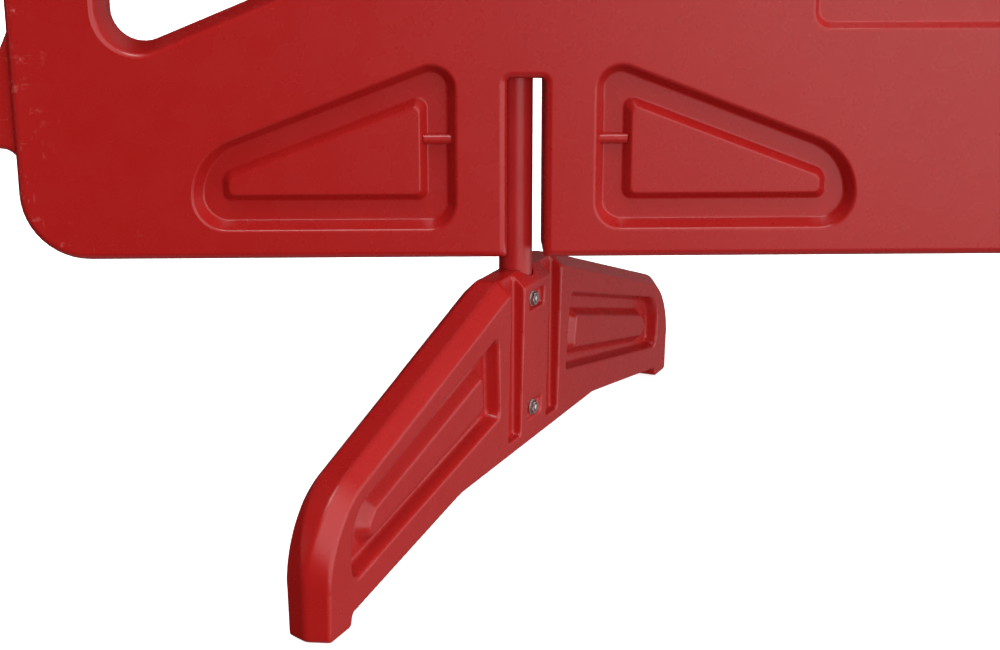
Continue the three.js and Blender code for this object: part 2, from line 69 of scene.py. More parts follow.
CORNER_RADIUS = 54.0
EDGE_ROUND = 6.5
STATION_X = 593.0                           # middle of a notch and of its two pressed triangles
NOTCH_HALF = 15.0
NOTCH_TOP = 346.0
NOTCH_RADIUS = 3.0
CHANNEL_RADIUS = 15.6                       # bore between the notch's sides
SOCKET_RADIUS = 17.8                        # wider bore above the notch, for the guide sleeve
SOCKET_BOTTOM = NOTCH_TOP + 0.5
SOCKET_TOP = 471.0
SOCKET_OVERRUN = 20.0                       # how far its cutter starts below the panel
EDGE_RUN = 6.0                              # flat run beside a pressed edge, for its rounded lip

# A pressed triangle's sides, as distances from the station, and its heights over the ground.
TRIANGLE = dict(inner=56.0, outer=267.5, bottom=224.3, top_outer=286.1, top_inner=366.7)
TRIANGLE_RADII = (22.0, 27.0, 50.0, 20.0)   # bottom inner and outer, then top outer and inner
TRIANGLE_DEPTH = 12.0
TRIANGLE_WALL = 6.8
TRIANGLE_LIPS = (3.0, 2.2, 2.0, 2.0)        # radii at the wall's top and foot, the island's foot and top
TRIANGLE_MOUTH = (-5.2, -0.8)               # the cutter's start, outside the edge and above the face
CHANNEL_WIDTH = 16.2
ISLAND_SLOPE = 6.0
ISLAND_BELOW = 4.0                          # depth of the island's top under the panel's face
ISLAND_RADII = (8.0, 7.0, 12.0, 8.0)
ISLAND_SMALLEST = 4.0
ISLAND_RUN = 2.0                            # flat run on the island, for its rounded edge
RIB_Z = 297.0
RIB_RADIUS = 4.3
RIB_DEPTH = 10.3
RIB_IN_WALL = 5.0                           # how far the rib's ends go into the wall and the island
RIB_IN_ISLAND = 3.0

WINDOW_SIDE = 922.6                         # its upright side's distance from the panel's middle
WINDOW_SLOPE = 0.407                        # rise of its lower side towards the middle
WINDOW_CORNER = 361.6                       # height of the lower corner
WINDOW_RADIUS = 26.0
WINDOW_TIP_RADIUS = 46.0
OPENING_DRAFT = 6.6                         # how much wider an opening is at a face than half way
OPENING_LIP = 6.0
OPENING_CLEAR = 0.6                         # how far its cutter stands above the face

SIGN_HALF = 366.0
SIGN_HALF_HEIGHT = 215.5
SIGN_RADIUS = 14.0
SIGN_DEPTH = 8.0
SIGN_WALL = 5.0
SIGN_LIPS = (3.0, 2.5)
SIGN_MOUTH = (-3.0, -0.8)
HOLD_HALF = 62.0
HOLD_Z = 925.0
HOLD_HALF_HEIGHT = 17.0
HOLD_RADIUS = 16.0

LUG_HEIGHT = 116.0
LUG_ROOT = 16.0                             # how deep a lug is buried in the end of the slab
LUG_BITE = 0.5                              # how deep its outline starts inside the end
LUG_ROOT_BELOW = 20.0
LUG_ROOT_ABOVE = 10.0
LUG_ROOT_RADIUS = 3.0
LUG_FILLET_HEIGHT = 16.0                    # heights over the lug's low point
LUG_NOSE_LOW = 19.0
LUG_NOSE_HIGH = 58.0
LUG_FILLET_RADIUS = 14.0
LUG_NOSE_RADIUS = 12.0
LUG_SHOULDER_REACH = 17.0
LUG_SHOULDER_DROP = 36.0
LUG_SHOULDER_RADIUS = 10.0
LUG_TOP_RADIUS = 5.0
LUG_HALF_THICKNESS = 20.0
LUG_RIM = 5.0
LUG_LOWS = {-1: (273.0, 824.0), 1: (384.0, 713.0)}
LUG_BORE_OVERRUN = 30.0
PIN_RADIUS = 9.0
PIN_INSET = 20.0

KEEPER_RADIUS = 3.0
KEEPER_CLEARANCE = 0.3
KEEPER_CHAMFER = 0.8
KEEPER_HOLE_DEPTH = 20.0
DRAIN_CLEARANCE = 0.3
DRAIN_SEAT_DEPTH = 2.5
DRAIN_SEAT_LEDGE = 4.5                      # width of the ledge that the plug's flange lies on
DRAIN_BORE_DEPTH = 10.0
OVERRUN = 1.0                               # how far a cutter starts outside what it cuts

# ---------------------------------------------------------------- sizes of the foot

FOOT_ANGLE = 26.3                           # degrees from +Y towards +X
TOP_HALF = 57.0
TOP_RADIUS = 12.0
TOP_SLOPE = 0.314                           # fall of the top edge per unit of length
FOOT_END = 349.0
END_RADIUS = 70.0
SOLE_INNER = 313.0
SOLE_HEIGHT = 9.0
SOLE_SLANT = 2.0
SOLE_RADIUS = 2.4
ARCH_HALF = 138.0
ARCH_TOP = 36.0
ARCH_RADIUS = 20.0
HALF_AT_GROUND = 16.4
WIDENING = 0.023                            # half thickness gained per unit of height
CREST_HALF = 9.0
CREST_END_HALF = 1.0                        # half width of the crest at the ground
TAPER = (40.0, 110.0)                       # heights between which the crest narrows
RIDGE_DROP = 11.0                           # where a side face ends, below and inside the crest
RIDGE_INSET = 5.5
WING_RECESS = ((76, 147.2, 6), (70, 77.6, 5), (312, 32, 10), (312, 83.6, 34))
WING_ISLAND = ((98, 119.5, 3), (94, 92, 3), (276, 54, 4), (286, 62, 6), (272, 74, 5))
WING_DEPTH = 12.0
WING_LEVELS = ((-1.5, -1.0), (0.0, 1.0), (3.0, WING_DEPTH))       # (inset, depth) down the wall
WING_ISLAND_BELOW = 3.0
WING_ISLAND_SLOPE = 8.0
GROOVE_INNER = 27.0
GROOVE_OUTER = 51.0
GROOVE_BOTTOM = 48.0
GROOVE_DEPTH = 7.5
GROOVE_OVERRUN = 20.0
POCKET_HALF = 14.5
POCKET_HALF_HEIGHT = 7.5
POCKET_FLOOR = 15.3
POCKET_HEIGHTS = (("lower", 64.5), ("upper", 160.5))
BOLT_HOLE = 3.4
POST_CLEARANCE = 0.4
POST_BORE_OVERRUN = 10.0
SIDE_REACH = 40.0                           # how far out the cutters of the side faces go
BOLT_HOLE_REACH = 30.0
VOXEL = 1.15
SOFTENING = 12
SOFTENING_FACTOR = 0.5

# ---------------------------------------------------------------- fineness of the meshes

ARC_STEPS = 12
FOOT_STEPS = 30
LIP_STEPS = 6
SWEEP_STEPS = 16
HEX_STEPS = 4
TURN_STEPS = 96
BOLT_STEPS = 64
HOLE_STEPS = 48
RIB_STEPS = 32
SMALLEST_RADIUS = 2.4
SMALLEST_HEX_RADIUS = 0.05
ON_AXIS = 1e-6
SHARP_ANGLE = math.radians(38)
BOLT_SHARP_ANGLE = math.radians(50)
LARGE_FACE_WEIGHT = 90


# ---------------------------------------------------------------- outlines and lofts


def mirrored(corners):
    return [(-x, z, radius) for x, z, radius in reversed(corners)]


def shifted(corners, dx):
    return [(x + dx, z, radius) for x, z, radius in corners]


def is_clockwise(corners):
    total = 0.0
    for (x, z, _), (next_x, next_z, _) in zip(corners, corners[1:] + corners[:1]):
        total += x * next_z - next_x * z
    return total < 0


def outline(corners, inset=0.0, steps=ARC_STEPS, smallest=SMALLEST_RADIUS):
    """Rounds the corners (x, z, radius) of a polygon and moves every side inwards by inset."""
    corners = list(corners)
    if is_clockwise(corners):
        corners.reverse()
    sides = []
    for (x, z, _), (next_x, next_z, _) in zip(corners, corners[1:] + corners[:1]):
        along = Vector((next_x - x, next_z - z)).normalized()
        sides.append((along, Vector((-along.y, along.x))))
    points = []
    for i, (x, z, given) in enumerate(corners):
        before, before_in = sides[i - 1]
        after, after_in = sides[i]
        cross = before.x * after.y - before.y * after.x
        turn = 1 if cross >= 0 else -1
        share = inset / (1 + before_in.dot(after_in))
        corner = Vector((x, z)) + (before_in + after_in) * share
        radius = max(given - turn * inset, smallest)
        bend = math.acos(max(-1.0, min(1.0, before.dot(after))))
        start = corner - before * radius * math.tan(bend / 2)
        centre = start + before_in * radius * turn
        first = math.atan2(start.y - centre.y, start.x - centre.x)
        for k in range(steps + 1):
            angle = first + turn * bend * k / steps
            points.append(centre + Vector((math.cos(angle), math.sin(angle))) * radius)
    return points


def rounded(points, radii, steps=LIP_STEPS):
    """Rounds the inner points of a line of (a, b) pairs, each by its own radius."""
    line = [Vector(points[0])]
    for i, radius in enumerate(radii, start=1):
        here = Vector(points[i])
        back = (Vector(points[i - 1]) - here).normalized()
        ahead = (Vector(points[i + 1]) - here).normalized()
        half = math.acos(max(-1.0, min(1.0, back.dot(ahead)))) / 2
        reach = radius / math.tan(half)
        centre = here + (back + ahead).normalized() * (radius / math.sin(half))
        start = here + back * reach - centre
        end = here + ahead * reach - centre
        for k in range(steps + 1):
            line.append(centre + start.lerp(end, k / steps).normalized() * radius)
    line.append(Vector(points[-1]))
    return line


def new_object(name, points, faces):
    mesh = bpy.data.meshes.new(name)
    mesh.from_pydata([Vector(p) * MM for p in points], [], faces)
    builder = bmesh.new()
    builder.from_mesh(mesh)
    bmesh.ops.recalc_face_normals(builder, faces=builder.faces)
    builder.to_mesh(mesh)
    builder.free()
    obj = bpy.data.objects.new(name, mesh)
    bpy.context.scene.collection.objects.link(obj)
    return obj


def loft(name, rings):
    """Joins rings of equal point count into one closed solid, with a flat face at each end."""
    count = len(rings[0])
    points = [point for ring in rings for point in ring]
    faces = []
    for level in range(len(rings) - 1):
        low = level * count
        for i in range(count):
            j = (i + 1) % count
            faces.append((low + i, low + j, low + count + j, low + count + i))
    last = (len(rings) - 1) * count
    faces.append(tuple(reversed(range(count))))
    faces.append(tuple(range(last, last + count)))
    return new_object(name, points, faces)


def ring_at(points, y):
    return [(p.x, y, p.y) for p in points]


def turned(name, profile, steps=TURN_STEPS, axis="Z"):
    """A turned solid. The profile of (radius, height) pairs ends on the axis or closes on itself."""
    closes = profile[0][0] > ON_AXIS
    points = []
    starts = []
    for radius, height in profile:
        starts.append(len(points))
        if radius < ON_AXIS:
            points.append((0.0, 0.0, height))
            continue
        for k in range(steps):
            angle = 2 * math.pi * k / steps
            points.append((radius * math.cos(angle), radius * math.sin(angle), height))
    faces = []
    pairs = list(zip(range(len(profile) - 1), range(1, len(profile))))
    if closes:
        pairs.append((len(profile) - 1, 0))
    for a, b in pairs:
        for k in range(steps):
            after = (k + 1) % steps
            if profile[a][0] < ON_AXIS:
                faces.append((starts[a], starts[b] + after, starts[b] + k))
            elif profile[b][0] < ON_AXIS:
                faces.append((starts[a] + k, starts[a] + after, starts[b]))
            else:
                faces.append((starts[a] + k, starts[a] + after, starts[b] + after, starts[b] + k))
    if axis == "Y":
        points = [(x, -z, y) for x, y, z in points]
    return new_object(name, points, faces)


def block(name, x, y, z):
    """A box between three (low, high) pairs."""
    ring = [(x[0], z[0]), (x[1], z[0]), (x[1], z[1]), (x[0], z[1])]
    return loft(name, [[(a, at, b) for a, b in ring] for at in y])


def rounded_slab(name, corners, half, rim_radius):
    """A slab from y = -half to half, with a rounded rim on both faces."""
    rim = []
    for k in range(LIP_STEPS + 1):
        angle = math.pi / 2 * k / LIP_STEPS
        rim.append((rim_radius * (1 - math.sin(angle)), half - rim_radius * (1 - math.cos(angle))))
    near = [ring_at(outline(corners, inset), -y) for inset, y in rim]
    far = [ring_at(outline(corners, inset), y) for inset, y in reversed(rim)]
    return loft(name, near + far)


# ---------------------------------------------------------------- mesh tools


def middle(low, high):
    """The middle of one of the frame's boxes, in millimetres."""
    return [(a + b) / 2 / MM for a, b in zip(low, high)]


def apply_modifiers(obj):
    graph = bpy.context.evaluated_depsgraph_get()
    obj.data = bpy.data.meshes.new_from_object(obj.evaluated_get(graph))
    obj.modifiers.clear()
    return obj


def moved(obj, x=0.0, y=0.0, z=0.0):
    obj.data.transform(Matrix.Translation(Vector((x, y, z)) * MM))
    return obj


def remove(obj):
    bpy.data.objects.remove(obj, do_unlink=True)


def joined(parts):
    """One object holding every part's mesh."""
    builder = bmesh.new()
    for piece in parts:
        builder.from_mesh(piece.data)
    keep = parts[0]
    builder.to_mesh(keep.data)
    builder.free()
    for piece in parts[1:]:
        remove(piece)
    return keep


def combine(obj, tool, operation="DIFFERENCE"):
    cut = obj.modifiers.new("cut", "BOOLEAN")
    cut.operation = operation
    cut.solver = "EXACT"
    cut.object = tool
    apply_modifiers(obj)
    remove(tool)
    return obj


def shade(obj, material, angle=SHARP_ANGLE):
    """Smooth shading with crisp edges, and flat faces that stay flat beside their rounded lips."""
    mesh = obj.data
    builder = bmesh.new()
    builder.from_mesh(mesh)
    for face in builder.faces:
        face.smooth = True
    for edge in builder.edges:
        if len(edge.link_faces) == 2:
            edge.smooth = edge.calc_face_angle(0.0) < angle
    builder.to_mesh(mesh)
    builder.free()
    weighted = obj.modifiers.new("weighted", "WEIGHTED_NORMAL")
    weighted.keep_sharp = True
    weighted.weight = LARGE_FACE_WEIGHT
    mesh.materials.clear()
    mesh.materials.append(material)
    return obj


# ---------------------------------------------------------------- panel


def panel_slab():
    """The slab with its two notches and a rounded rim all the way round."""
    corners = [(-PANEL_HALF, PANEL_BOTTOM, CORNER_RADIUS)]
    for _, hand in HANDS:
        near = hand * STATION_X - NOTCH_HALF
        far = hand * STATION_X + NOTCH_HALF
        corners += [
            (near, PANEL_BOTTOM, NOTCH_RADIUS),
            (near, NOTCH_TOP, NOTCH_RADIUS),
            (far, NOTCH_TOP, NOTCH_RADIUS),
            (far, PANEL_BOTTOM, NOTCH_RADIUS),
        ]
    corners += [
        (PANEL_HALF, PANEL_BOTTOM, CORNER_RADIUS),
        (PANEL_HALF, PANEL_TOP, CORNER_RADIUS),
        (-PANEL_HALF, PANEL_TOP, CORNER_RADIUS),
    ]
    return rounded_slab("panel", corners, FACE, EDGE_ROUND)


def opening_space(name, corners):
    """An opening right through, narrowest half way, with rounded lips on both faces."""
    lip = []
    for k in range(LIP_STEPS):
        angle = math.pi / 2 * k / LIP_STEPS
        grow = OPENING_DRAFT + OPENING_LIP * (1 - math.cos(angle))
        lip.append((grow, FACE - OPENING_LIP + OPENING_LIP * math.sin(angle)))
    lip.append((OPENING_DRAFT + OPENING_LIP + OPENING_CLEAR, FACE + OPENING_CLEAR))
    near = [ring_at(outline(corners, -grow), -y) for grow, y in reversed(lip)]
    far = [ring_at(outline(corners, -grow), y) for grow, y in lip]
    return loft(name, near + [ring_at(outline(corners), 0)] + far)


def triangle_corners(lean, station, radii):
    shape = TRIANGLE
    corners = [
        (shape["inner"], shape["bottom"], radii[0]),
        (shape["outer"], shape["bottom"], radii[1]),
        (shape["outer"], shape["top_outer"], radii[2]),
        (shape["inner"], shape["top_inner"], radii[3]),
    ]
    return shifted(corners if lean > 0 else mirrored(corners), station)


def triangle_space(lean, station, side):
    """A pressed triangle with its raised island, less the rib that crosses the channel."""
    island = TRIANGLE_WALL + CHANNEL_WIDTH
    levels = rounded(
        [
            (-EDGE_RUN, 0),
            (0, 0),
            (TRIANGLE_WALL, TRIANGLE_DEPTH),
            (island, TRIANGLE_DEPTH),
            (island + ISLAND_SLOPE, ISLAND_BELOW),
            (island + ISLAND_SLOPE + ISLAND_RUN, ISLAND_BELOW),
        ],
        TRIANGLE_LIPS,
    )
    outer = triangle_corners(lean, station, TRIANGLE_RADII)
    inner = triangle_corners(lean, station, [radius + island for radius in ISLAND_RADII])
    rings = []
    for inset, depth in [TRIANGLE_MOUTH] + levels[1:]:
        if inset < island - CHANNEL_WIDTH / 2:
            points = outline(outer, inset)
        else:
            points = outline(inner, inset, smallest=ISLAND_SMALLEST)
        rings.append(ring_at(points, side * (FACE - depth)))
    return combine(loft("triangle", rings), channel_rib(lean, station, side))


def channel_rib(lean, station, side):
    """The round rib from a triangle's upright wall to its island."""
    start = TRIANGLE["inner"] + TRIANGLE_WALL - RIB_IN_WALL
    end = TRIANGLE["inner"] + TRIANGLE_WALL + CHANNEL_WIDTH + RIB_IN_ISLAND
    low, high = sorted((station + lean * start, station + lean * end))
    rib = turned("rib", [(0, low), (RIB_RADIUS, low), (RIB_RADIUS, high), (0, high)], RIB_STEPS)
    rib.data.transform(Matrix.Rotation(math.pi / 2, 4, "Y"))
    return moved(rib, y=side * (FACE - RIB_DEPTH), z=RIB_Z)


def sign_space(side):
    """The shallow recess for a sign on one face."""
    corners = [
        (-SIGN_HALF, MID - SIGN_HALF_HEIGHT, SIGN_RADIUS),
        (SIGN_HALF, MID - SIGN_HALF_HEIGHT, SIGN_RADIUS),
        (SIGN_HALF, MID + SIGN_HALF_HEIGHT, SIGN_RADIUS),
        (-SIGN_HALF, MID + SIGN_HALF_HEIGHT, SIGN_RADIUS),
    ]
    levels = rounded(
        [
            (-EDGE_RUN, 0),
            (0, 0),
            (SIGN_WALL, SIGN_DEPTH),
            (SIGN_WALL + EDGE_RUN, SIGN_DEPTH),
        ],
        SIGN_LIPS,
    )
    rings = []
    for inset, depth in [SIGN_MOUTH] + levels[1:]:
        rings.append(ring_at(outline(corners, inset), side * (FACE - depth)))
    return loft("sign", rings)


def window_corners(hand):
    tip = -WINDOW_SIDE + (MID - WINDOW_CORNER) / WINDOW_SLOPE
    corners = [
        (-WINDOW_SIDE, WINDOW_CORNER, WINDOW_RADIUS),
        (tip, MID, WINDOW_TIP_RADIUS),
        (-WINDOW_SIDE, 2 * MID - WINDOW_CORNER, WINDOW_RADIUS),
    ]
    return corners if hand < 0 else mirrored(corners)


def hold_corners():
    low = HOLD_Z - HOLD_HALF_HEIGHT
    high = HOLD_Z + HOLD_HALF_HEIGHT
    places = ((-HOLD_HALF, low), (HOLD_HALF, low), (HOLD_HALF, high), (-HOLD_HALF, high))
    return [(x, z, HOLD_RADIUS) for x, z in places]


def lug(hand, low):
    """A linking lug on one end of the panel, with an upright bore for the pin."""
    high = low + LUG_HEIGHT
    root = PANEL_HALF - LUG_ROOT
    tip = PANEL_HALF + LUG_REACH
    edge = PANEL_HALF - LUG_BITE
    corners = [
        (root, low - LUG_ROOT_BELOW, LUG_ROOT_RADIUS),
        (edge, low - LUG_ROOT_BELOW, LUG_ROOT_RADIUS),
        (edge, low + LUG_FILLET_HEIGHT, LUG_FILLET_RADIUS),
        (tip, low + LUG_NOSE_LOW, LUG_NOSE_RADIUS),
        (tip, low + LUG_NOSE_HIGH, LUG_NOSE_RADIUS),
        (edge + LUG_SHOULDER_REACH, high - LUG_SHOULDER_DROP, LUG_SHOULDER_RADIUS),
        (edge, high, LUG_TOP_RADIUS),
        (edge, high + LUG_ROOT_ABOVE, LUG_ROOT_RADIUS),
        (root, high + LUG_ROOT_ABOVE, LUG_ROOT_RADIUS),
    ]
    corners = corners if hand > 0 else mirrored(corners)
    body = rounded_slab("lug", corners, LUG_HALF_THICKNESS, LUG_RIM)
    start = low - LUG_BORE_OVERRUN
    end = high + LUG_BORE_OVERRUN
    bore = turned("bore", [(0, start), (PIN_RADIUS, start), (PIN_RADIUS, end), (0, end)], BOLT_STEPS)
    return combine(body, moved(bore, x=hand * (tip - PIN_INSET)))


def socket_space(hand):
    """The channel in a notch and the wider socket above it, in which a post turns."""
    socket = turned("socket", [
        (0, PANEL_BOTTOM - SOCKET_OVERRUN),
        (CHANNEL_RADIUS, PANEL_BOTTOM - SOCKET_OVERRUN),
        (CHANNEL_RADIUS, SOCKET_BOTTOM),
        (SOCKET_RADIUS, SOCKET_BOTTOM),
        (SOCKET_RADIUS, SOCKET_TOP),
        (0, SOCKET_TOP),
    ])
    return moved(socket, x=hand * POST_X)


def keeper_hole(name):
    """The chamfered hole in the panel for a keeper pin."""
    x, _, z = middle(*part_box("keeper_pin_" + name))
    radius = KEEPER_RADIUS + KEEPER_CLEARANCE
    hole = turned("hole", [
        (0, -FACE - OVERRUN),
        (radius + KEEPER_CHAMFER, -FACE - OVERRUN),
        (radius, -FACE + KEEPER_CHAMFER),
        (radius, -FACE + KEEPER_HOLE_DEPTH),
        (0, -FACE + KEEPER_HOLE_DEPTH),
    ], HOLE_STEPS, "Y")
    return moved(hole, x=x, z=z)


def drain_seat(name):
    """The stepped seat in the lower edge for a drain plug."""
    low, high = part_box("drain_plug_" + name)
    radius = (high.x - low.x) / 2 / MM + DRAIN_CLEARANCE
    seat = turned("seat", [
        (0, PANEL_BOTTOM - OVERRUN),
        (radius, PANEL_BOTTOM - OVERRUN),
        (radius, PANEL_BOTTOM + DRAIN_SEAT_DEPTH),
        (radius - DRAIN_SEAT_LEDGE, PANEL_BOTTOM + DRAIN_SEAT_DEPTH),
        (radius - DRAIN_SEAT_LEDGE, PANEL_BOTTOM + DRAIN_BORE_DEPTH),
        (0, PANEL_BOTTOM + DRAIN_BORE_DEPTH),
    ])
    return moved(seat, x=middle(low, high)[0])


def panel():
    spaces = []
    for name, hand in HANDS:
        spaces.append(opening_space("window", window_corners(hand)))
        for side in (-1, 1):
            for lean in (-1, 1):
                spaces.append(triangle_space(lean, hand * STATION_X, side))
        spaces.append(socket_space(hand))
        spaces.append(keeper_hole(name))
        spaces.append(drain_seat(name))
    spaces.append(opening_space("hold", hold_corners()))
    for side in (-1, 1):
        spaces.append(sign_space(side))
    slab = combine(panel_slab(), joined(spaces))
    lugs = [lug(hand, low) for hand, lows in LUG_LOWS.items() for low in lows]
    return combine(slab, joined(lugs), "UNION")


# ---------------------------------------------------------------- foot


def half_at(z):
    return HALF_AT_GROUND + WIDENING * z


def crest_half(z):
    low, high = TAPER
    share = max(0.0, min(1.0, (z - low) / (high - low)))
    return CREST_END_HALF + (CREST_HALF - CREST_END_HALF) * share * share * (3 - 2 * share)


def foot_corners(drop):
    """The side view of the foot. At drop 0 it is the crest, at drop 1 the edge of a side face."""
    top = FOOT_TOP - drop * RIDGE_DROP
    end = FOOT_END - drop * RIDGE_INSET
    wing = [
        (TOP_HALF, top, TOP_RADIUS),
        (end, top - TOP_SLOPE * (end - TOP_HALF), END_RADIUS),
        (end, 0, SOLE_RADIUS),
        (SOLE_INNER, 0, SOLE_RADIUS),
        (SOLE_INNER - SOLE_SLANT, SOLE_HEIGHT, SOLE_RADIUS),
        (ARCH_HALF, ARCH_TOP, ARCH_RADIUS),
    ]
    return wing + mirrored(wing)


def foot_ring(points, y_at):
    return [(p.x, y_at(p.y), p.y) for p in points]


def foot_slab():
    crest = outline(foot_corners(0), steps=FOOT_STEPS)
    ridge = outline(foot_corners(1), steps=FOOT_STEPS)
    return loft("foot", [
        foot_ring(ridge, lambda z: -half_at(z)),
        foot_ring(crest, lambda z: -crest_half(z)),
        foot_ring(crest, crest_half),
        foot_ring(ridge, half_at),
    ])


def wing_space(hand, side):
    """A recess on one side of one wing, less its raised island."""
    def ring(corners, inset, depth):
        placed = corners if hand > 0 else mirrored(corners)
        return foot_ring(outline(placed, inset, FOOT_STEPS), lambda z: side * (half_at(z) - depth))

    space = loft("wing", [ring(WING_RECESS, inset, depth) for inset, depth in WING_LEVELS])
    island = loft("island", [
        ring(WING_ISLAND, -WING_ISLAND_SLOPE, WING_DEPTH + OVERRUN),
        ring(WING_ISLAND, 0, WING_ISLAND_BELOW),
    ])
    return combine(space, island)


def outwards(side, floor):
    """The span in y from a cut's floor to well outside that side of the foot."""
    return (floor, SIDE_REACH) if side > 0 else (-SIDE_REACH, -floor)


def groove(hand, side):
    """The upright groove between a wing and the middle of the foot."""
    span_x = sorted((hand * GROOVE_INNER, hand * GROOVE_OUTER))
    span_y = outwards(side, half_at(ARCH_TOP) - GROOVE_DEPTH)
    return block("groove", span_x, span_y, (GROOVE_BOTTOM, FOOT_TOP + GROOVE_OVERRUN))


def pocket(side, z):
    """The pocket round one end of a bolt."""
    span_z = (z - POCKET_HALF_HEIGHT, z + POCKET_HALF_HEIGHT)
    return block("pocket", (-POCKET_HALF, POCKET_HALF), outwards(side, POCKET_FLOOR), span_z)


def bolt_holes(reach):
    """The holes for both bolts, reaching as far to either side of the post."""
    profile = [(0, -reach), (BOLT_HOLE, -reach), (BOLT_HOLE, reach), (0, reach)]
    return joined([moved(turned("hole", profile, HOLE_STEPS, "Y"), z=z) for _, z in POCKET_HEIGHTS])


def foot():
    spaces = []
    for side in (-1, 1):
        for hand in (-1, 1):
            spaces.append(wing_space(hand, side))
            spaces.append(groove(hand, side))
        for _, z in POCKET_HEIGHTS:
            spaces.append(pocket(side, z))
    body = combine(foot_slab(), joined(spaces))
    radius = POST_RADIUS + POST_CLEARANCE
    low = POST_LOW - OVERRUN
    high = FOOT_TOP + POST_BORE_OVERRUN
    body = combine(body, turned("bore", [(0, low), (radius, low), (radius, high), (0, high)]))
    body = combine(body, bolt_holes(BOLT_HOLE_REACH))
    remesh = body.modifiers.new("remesh", "REMESH")
    remesh.mode = "VOXEL"
    remesh.voxel_size = VOXEL * MM
    soften = body.modifiers.new("soften", "SMOOTH")
    soften.factor = SOFTENING_FACTOR
    soften.iterations = SOFTENING
    return apply_modifiers(body)


# ---------------------------------------------------------------- post and hardware

NUT_SEAT = POCKET_FLOOR + 0.3
NUT_FLATS = 10.0
NUT_HEIGHT = 3.6
NUT_CORNER_RADIUS = 0.5
NUT_CHAMFER = 0.7                           # height of the chamfer at a nut's corners
NUT_BORE_CHAMFER = 0.9
NUT_BORE_LIP = 0.6                          # depth at which the bore's chamfers end
NUT_MARGIN = 0.4                            # how far the chamfering solid stands out past the corners
NUT_FACE_INSET = 0.2
FLANGE_RADIUS = 6.8
FLANGE = 1.1
FLANGE_RIM = FLANGE * 0.7
FLANGE_LIPS = (0.2, 0.2, 0.3)
BOLT_RADIUS = 3.0
BOLT_CLEARANCE = 0.3
BOLT_TIP = NUT_SEAT + NUT_HEIGHT + 0.8
BOLT_TIP_STEP = 0.1
BOLT_TIP_CHAMFER = 0.7
THREAD_PITCH = 1.0
THREAD_DEPTH = 0.45
THREAD_LEVELS = (0.2, 0.5, 0.65)            # where a crest ends, and a root starts and ends
HEAD_SEAT = -(POCKET_FLOOR + 1.6)
HEAD_RADIUS = 5.3
HEAD_HEIGHT = 3.3
HEAD_RIM = 1.2
HEAD_LIPS = (2.0, 1.0, 0.2)
HEAD_FLAT = 0.6                             # share of the head's radius that its flat top takes
KEY_FLATS = 4.0
KEY_DEPTH = 2.1
WASHER_LOW = -(POCKET_FLOOR + 1.3)
WASHER_RADIUS = 6.2
WASHER_THICKNESS = 1.0
WASHER_ROUND = 0.25
WASHER_BORE_ROUND = 0.15
TUBE_WALL = 2.0
TUBE_CHAMFER = 0.5
TUBE_HOLE_REACH = 20.0
PLUG_FLANGE = 2.2
PLUG_LEDGE = 4.8
PLUG_LIPS = (0.8, 0.3, 0.3, 0.6)
KEEPER_LIPS = (0.8, 0.8)
SLOT_SHARE = 0.62                           # share of the plug's radius that its coin slot takes
SLOT_HALF = 1.2
SLOT_DEPTH = 1.4


def post_tube():
    inner = POST_RADIUS - TUBE_WALL
    tube = turned("tube", [
        (inner, POST_LOW + TUBE_CHAMFER),
        (inner + TUBE_CHAMFER, POST_LOW),
        (POST_RADIUS - TUBE_CHAMFER, POST_LOW),
        (POST_RADIUS, POST_LOW + TUBE_CHAMFER),
        (POST_RADIUS, POST_HIGH - TUBE_CHAMFER),
        (POST_RADIUS - TUBE_CHAMFER, POST_HIGH),
        (inner + TUBE_CHAMFER, POST_HIGH),
        (inner, POST_HIGH - TUBE_CHAMFER),
    ])
    return combine(tube, bolt_holes(TUBE_HOLE_REACH))


def hex_prism(name, across, low, high, rounding=0.0):
    corner = across / math.sqrt(3)
    corners = []
    for k in range(6):
        angle = k * math.pi / 3
        corners.append((corner * math.cos(angle), corner * math.sin(angle), rounding))
    points = outline(corners, steps=HEX_STEPS, smallest=SMALLEST_HEX_RADIUS)
    return loft(name, [[(p.x, p.y, z) for p in points] for z in (low, high)])


def bolt():
    """A button-head bolt along Z, its head below and its threaded end above."""
    face = HEAD_SEAT - HEAD_HEIGHT
    head = rounded(
        [
            (0, face),
            (HEAD_RADIUS * HEAD_FLAT, face),
            (HEAD_RADIUS, HEAD_SEAT - HEAD_RIM),
            (HEAD_RADIUS, HEAD_SEAT),
            (BOLT_RADIUS, HEAD_SEAT),
        ],
        HEAD_LIPS,
    )
    profile = [tuple(p) for p in head]
    root = BOLT_RADIUS - THREAD_DEPTH
    crest_end, root_start, root_end = THREAD_LEVELS
    height = NUT_SEAT - 2 * THREAD_PITCH
    while height < BOLT_TIP - THREAD_PITCH:
        profile += [
            (BOLT_RADIUS, height),
            (BOLT_RADIUS, height + crest_end),
            (root, height + root_start),
            (root, height + root_end),
        ]
        height += THREAD_PITCH
    profile += [
        (BOLT_RADIUS - BOLT_TIP_STEP, height),
        (BOLT_RADIUS - BOLT_TIP_CHAMFER, BOLT_TIP),
        (0, BOLT_TIP),
    ]
    key = hex_prism("key", KEY_FLATS, face - OVERRUN, face + KEY_DEPTH)
    return combine(turned("bolt", profile, BOLT_STEPS), key)


